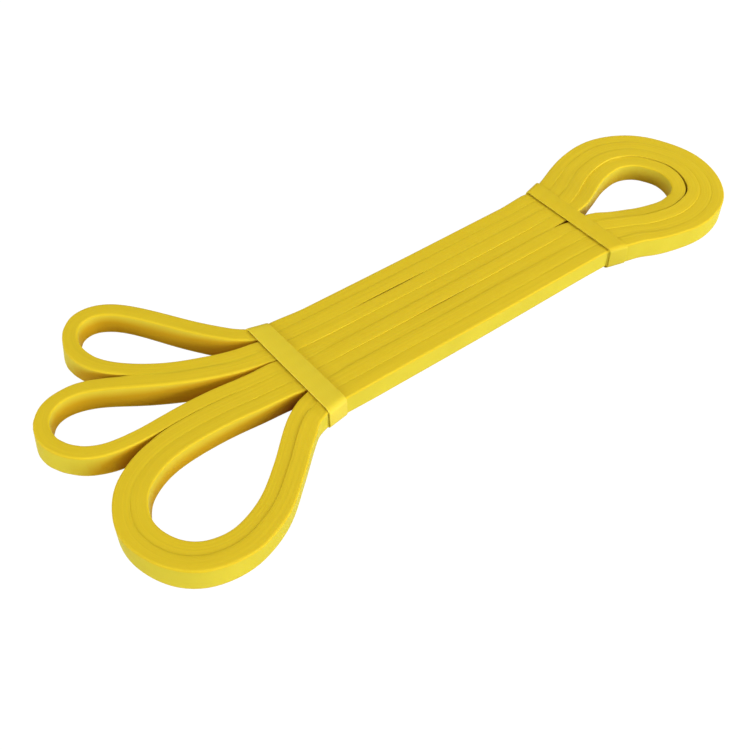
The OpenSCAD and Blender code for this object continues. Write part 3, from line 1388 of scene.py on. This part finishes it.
@dataclass(frozen=True)
class TieLatex(Latex):
    """Thin latex of a tie, whose sides are painted lighter than its top by the way each face points, as
    painted light.

    Attributes:
        upright: Upward parts of a face's direction between which the top's darker colour sets in, painting
            light by facing.
    """

    upright: Span = (0.3, 0.9)

    def along(self, nodes: Nodes, place: bpy.types.Node) -> bpy.types.NodeSocket:
        """Turns the tie's object coordinates so that its streaks run round the bundle.

        Args:
            nodes: The material's nodes.
            place: The texture coordinates among them.

        Returns:
            The coordinates' socket.
        """
        turn = nodes.add("ShaderNodeMapping")
        turn.inputs["Rotation"].default_value = (0.0, 0.0, math.pi / 2)
        turn.inputs["Scale"].default_value = (1.0 / MM, 1.0 / MM, 1.0 / MM)
        nodes.join(place.outputs["Object"], turn.inputs["Vector"])
        return turn.outputs["Vector"]

    def colour(
        self, nodes: Nodes, place: bpy.types.Node, group: bpy.types.Node
    ) -> bpy.types.NodeSocket:
        """Lays out the clouded sides and the plain top by the way each face points, which paints the sides
        lighter than the top.

        Args:
            nodes: The material's nodes.
            place: The texture coordinates among them.
            group: The latex group among them.

        Returns:
            The colour's socket.
        """
        # Painted light: the colour follows which way a face points, lighter on the sides and darker on top.
        parts = nodes.add("ShaderNodeSeparateXYZ")
        nodes.join(place.outputs["Normal"], parts.inputs[0])
        upwards = nodes.math("ABSOLUTE", parts.outputs["Z"], 0.0)
        top = nodes.spread(upwards, self.upright)
        return nodes.mix(top, self.clouded_skin_and_sheen(nodes, group), self.cut)


def direction(azimuth: float, elevation: float) -> Vector:
    """Unit vector from the object towards a place round it, both in degrees."""
    a, e = math.radians(azimuth), math.radians(elevation)
    return Vector((math.sin(a) * math.cos(e), -math.cos(a) * math.cos(e), math.sin(e)))


@dataclass(frozen=True)
class Softbox:
    """A soft lamp round the object.

    Attributes:
        name: The lamp's name.
        azimuth: Degrees round the object, 0 in front of it on -y.
        elevation: Degrees above the floor.
        distance: Metres from the object.
        wide: Metres across.
        high: Metres up.
        power: Watts.
    """

    name: str
    azimuth: float
    elevation: float
    distance: float
    wide: float
    high: float
    power: float

    def build(self) -> bpy.types.Object:
        """Makes the lamp, turned to the object.

        Returns:
            The lamp.
        """
        lamp = bpy.data.lights.new(self.name, "AREA")
        lamp.shape = "RECTANGLE"
        lamp.size, lamp.size_y = self.wide, self.high
        lamp.energy = self.power
        lamp_object = bpy.data.objects.new(self.name, lamp)
        bpy.context.scene.collection.objects.link(lamp_object)
        back = direction(self.azimuth, self.elevation)
        lamp_object.location = back * self.distance
        lamp_object.rotation_euler = back.to_track_quat("Z", "Y").to_euler()
        return lamp_object


@dataclass
class Studio:
    """Floor, lamps, surroundings and camera.

    Attributes:
        frame_px: Side of the square picture, in pixels.
        focal_px: The camera's focal length, in pixels.
        azimuth: The camera's place round the object, in degrees.
        elevation: The camera's height above the floor, in degrees.
        distance: Millimetres from the camera to the point in the picture's middle.
        aim: That point, in millimetres.
        ambient: Strength of the light from all round.
        fill: Its colour.
        bounce: Colour of the light that the floor throws back on the object.
        shadow: How much of the floor's own shade shows in the white.
        paper: The floor's own colour.
        floor_side: Metres along a side of the floor.
        sensor: Width of the camera's sensor, in millimetres.
        clip: Nearest and furthest distance that the camera sees, in metres.
        lamps: The lamps.
    """

    frame_px: int = 750
    focal_px: float = 1004.0
    azimuth: float = -37.3
    elevation: float = 47.25
    distance: float = 296.2
    aim: tuple[float, float, float] = (-35.72, -23.29, 6.4)
    ambient: float = 0.2
    fill: Colour = (1.0, 0.74, 0.4)
    bounce: Colour = (0.16, 0.1, 0.04)
    shadow: float = 0.05
    paper: Colour = (0.92, 0.92, 0.92)
    floor_side: float = 6.0
    sensor: float = 36.0
    clip: Span = (0.01, 20.0)
    lamps: tuple[Softbox, ...] = (
        Softbox(
            "low_front_panel", azimuth=6.0, elevation=16.0, distance=1.0, wide=2.4, high=0.45,
            power=18.8,
        ),
        Softbox(
            "low_side_panel", azimuth=-112.0, elevation=12.0, distance=1.0, wide=0.8, high=0.36,
            power=6.5,
        ),
        Softbox(
            "overhead_softbox", azimuth=60.0, elevation=68.0, distance=1.1, wide=1.0, high=1.0,
            power=8.0,
        ),
    )

    def camera(self) -> None:
        """Sets up the camera at the picture's viewing angle."""
        data = bpy.data.cameras.new("camera")
        data.sensor_width = self.sensor
        data.lens = self.focal_px / self.frame_px * data.sensor_width
        data.clip_start, data.clip_end = self.clip
        camera = bpy.data.objects.new("camera", data)
        bpy.context.scene.collection.objects.link(camera)
        back = direction(self.azimuth, self.elevation)
        camera.location = (Vector(self.aim) + back * self.distance) * MM
        camera.rotation_euler = (-back).to_track_quat("-Z", "Y").to_euler()
        bpy.context.scene.camera = camera

    @staticmethod
    def seen(nodes: Nodes) -> bpy.types.NodeSocket:
        """Tells rays that show the surroundings from rays that only light the object.

        Args:
            nodes: The nodes of the floor's material or of the world.

        Returns:
            One for rays from the camera and from gloss and glass, and nothing for others.
        """
        path = nodes.add("ShaderNodeLightPath")
        glossy = nodes.math("MAXIMUM", path.outputs["Is Glossy Ray"], path.outputs["Is Transmission Ray"])
        return nodes.math("MAXIMUM", path.outputs["Is Camera Ray"], glossy)

    def surroundings(self) -> None:
        """Makes a world that is white to the camera and lights the object softly."""
        world = bpy.data.worlds.new("studio_white")
        bpy.context.scene.world = world
        world.use_nodes = True
        nodes = Nodes(world.node_tree)
        world.node_tree.nodes.clear()
        light = nodes.add("ShaderNodeBackground")
        light.inputs["Strength"].default_value = self.ambient
        white = nodes.add("ShaderNodeBackground")
        for background, colour in ((light, self.fill), (white, WHITE)):
            background.inputs["Color"].default_value = (*colour, 1.0)
        mixed = nodes.add("ShaderNodeMixShader")
        nodes.join(self.seen(nodes), mixed.inputs[0])
        nodes.join(light.outputs[0], mixed.inputs[1])
        nodes.join(white.outputs[0], mixed.inputs[2])
        nodes.join(mixed.outputs[0], nodes.add("ShaderNodeOutputWorld").inputs["Surface"])

    def floor(self) -> None:
        """Lays a pale floor that stays white to the camera but for a faint shadow."""
        bpy.ops.object.select_all(action="DESELECT")
        bpy.ops.mesh.primitive_plane_add(size=self.floor_side)
        floor = bpy.context.object
        floor.name = "pale_floor"
        material = bpy.data.materials.new("pale_floor")
        material.use_nodes = True
        material.node_tree.nodes.clear()
        nodes = Nodes(material.node_tree)
        matt = nodes.add("ShaderNodeBsdfDiffuse")
        seen = self.seen(nodes)
        nodes.join(nodes.mix(seen, self.bounce, self.paper), matt.inputs["Color"])
        white = nodes.add("ShaderNodeEmission")
        white.inputs["Strength"].default_value = 1.0 + self.shadow
        mixed = nodes.add("ShaderNodeMixShader")
        nodes.join(nodes.math("MULTIPLY", seen, 1.0 - self.shadow), mixed.inputs[0])
        nodes.join(matt.outputs[0], mixed.inputs[1])
        nodes.join(white.outputs[0], mixed.inputs[2])
        nodes.join(mixed.outputs[0], nodes.add("ShaderNodeOutputMaterial").inputs["Surface"])
        floor.data.materials.append(material)

    def build(self) -> None:
        """Sets up everything round the object."""
        bpy.context.scene.view_settings.view_transform = "Standard"
        self.camera()
        self.surroundings()
        self.floor()
        for lamp in self.lamps:
            lamp.build()


def dress(piece: bpy.types.Object, material: bpy.types.Material) -> None:
    """Gives a piece its only material."""
    piece.data.materials.clear()
    piece.data.materials.append(material)


def corners(box: tuple[Vector, Vector]) -> list[list[float]]:
    """A box's two corners as plain lists of numbers."""
    return [list(corner) for corner in box]


def main() -> None:
    """Builds the studio, the strip and its ties, and reports each."""
    logging.basicConfig(level=logging.INFO, format="%(name)s: %(message)s")
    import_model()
    Studio().build()
    bundle = Bundle.from_frame()

    surface = LatexSurface().build()
    # The band's sides are paler and bluer than its cut edges, partly their own tone and partly painted
    # sheen.
    band_latex = BandLatex(
        "band_latex", skin_and_sheen=(0.65, 0.562, 0.046), cut=(0.67, 0.508, 0.022), shade=0.08, relief=0.00012,
    ).build(surface)
    # Each tie's sides are painted lighter than its top, as painted light.
    pale_latex = TieLatex(
        "pale_tie_latex", skin_and_sheen=(0.712, 0.598, 0.072), cut=(0.66, 0.535, 0.035),
        shade=0.05, relief=0.00006,
    ).build(surface)
    deep_latex = TieLatex(
        "deep_tie_latex", skin_and_sheen=(0.615, 0.52, 0.042), cut=(0.63, 0.48, 0.021),
        shade=0.05, relief=0.00006,
    ).build(surface)

    left_tie = RubberTie(
        bundle, "left_tie",
        left_rim=Rim(turn=0.92, x=0.92, y=0.4, flare=1.4), right_rim=Rim(turn=1.54, x=1.15),
    )
    right_tie = RubberTie(
        bundle, "right_tie", left_rim=Rim(y=-0.25), right_rim=Rim(y=-0.26, flare=1.73), corner=1.55,
    )
    strip = LatexStrip(bundle, right_tie)
    piece, path, length = strip.build()
    dress(piece, band_latex)
    strip.declare(piece, path)
    LOG.info("%s: %.3f m long, %d faces", piece.name, length, len(piece.data.polygons))

    for tie, finish in ((left_tie, pale_latex), (right_tie, deep_latex)):
        piece = tie.build()
        dress(piece, finish)
        tie.declare(piece)
        LOG.info("%s: %d faces", piece.name, len(piece.data.polygons))


if __name__ == "__main__":
    main()
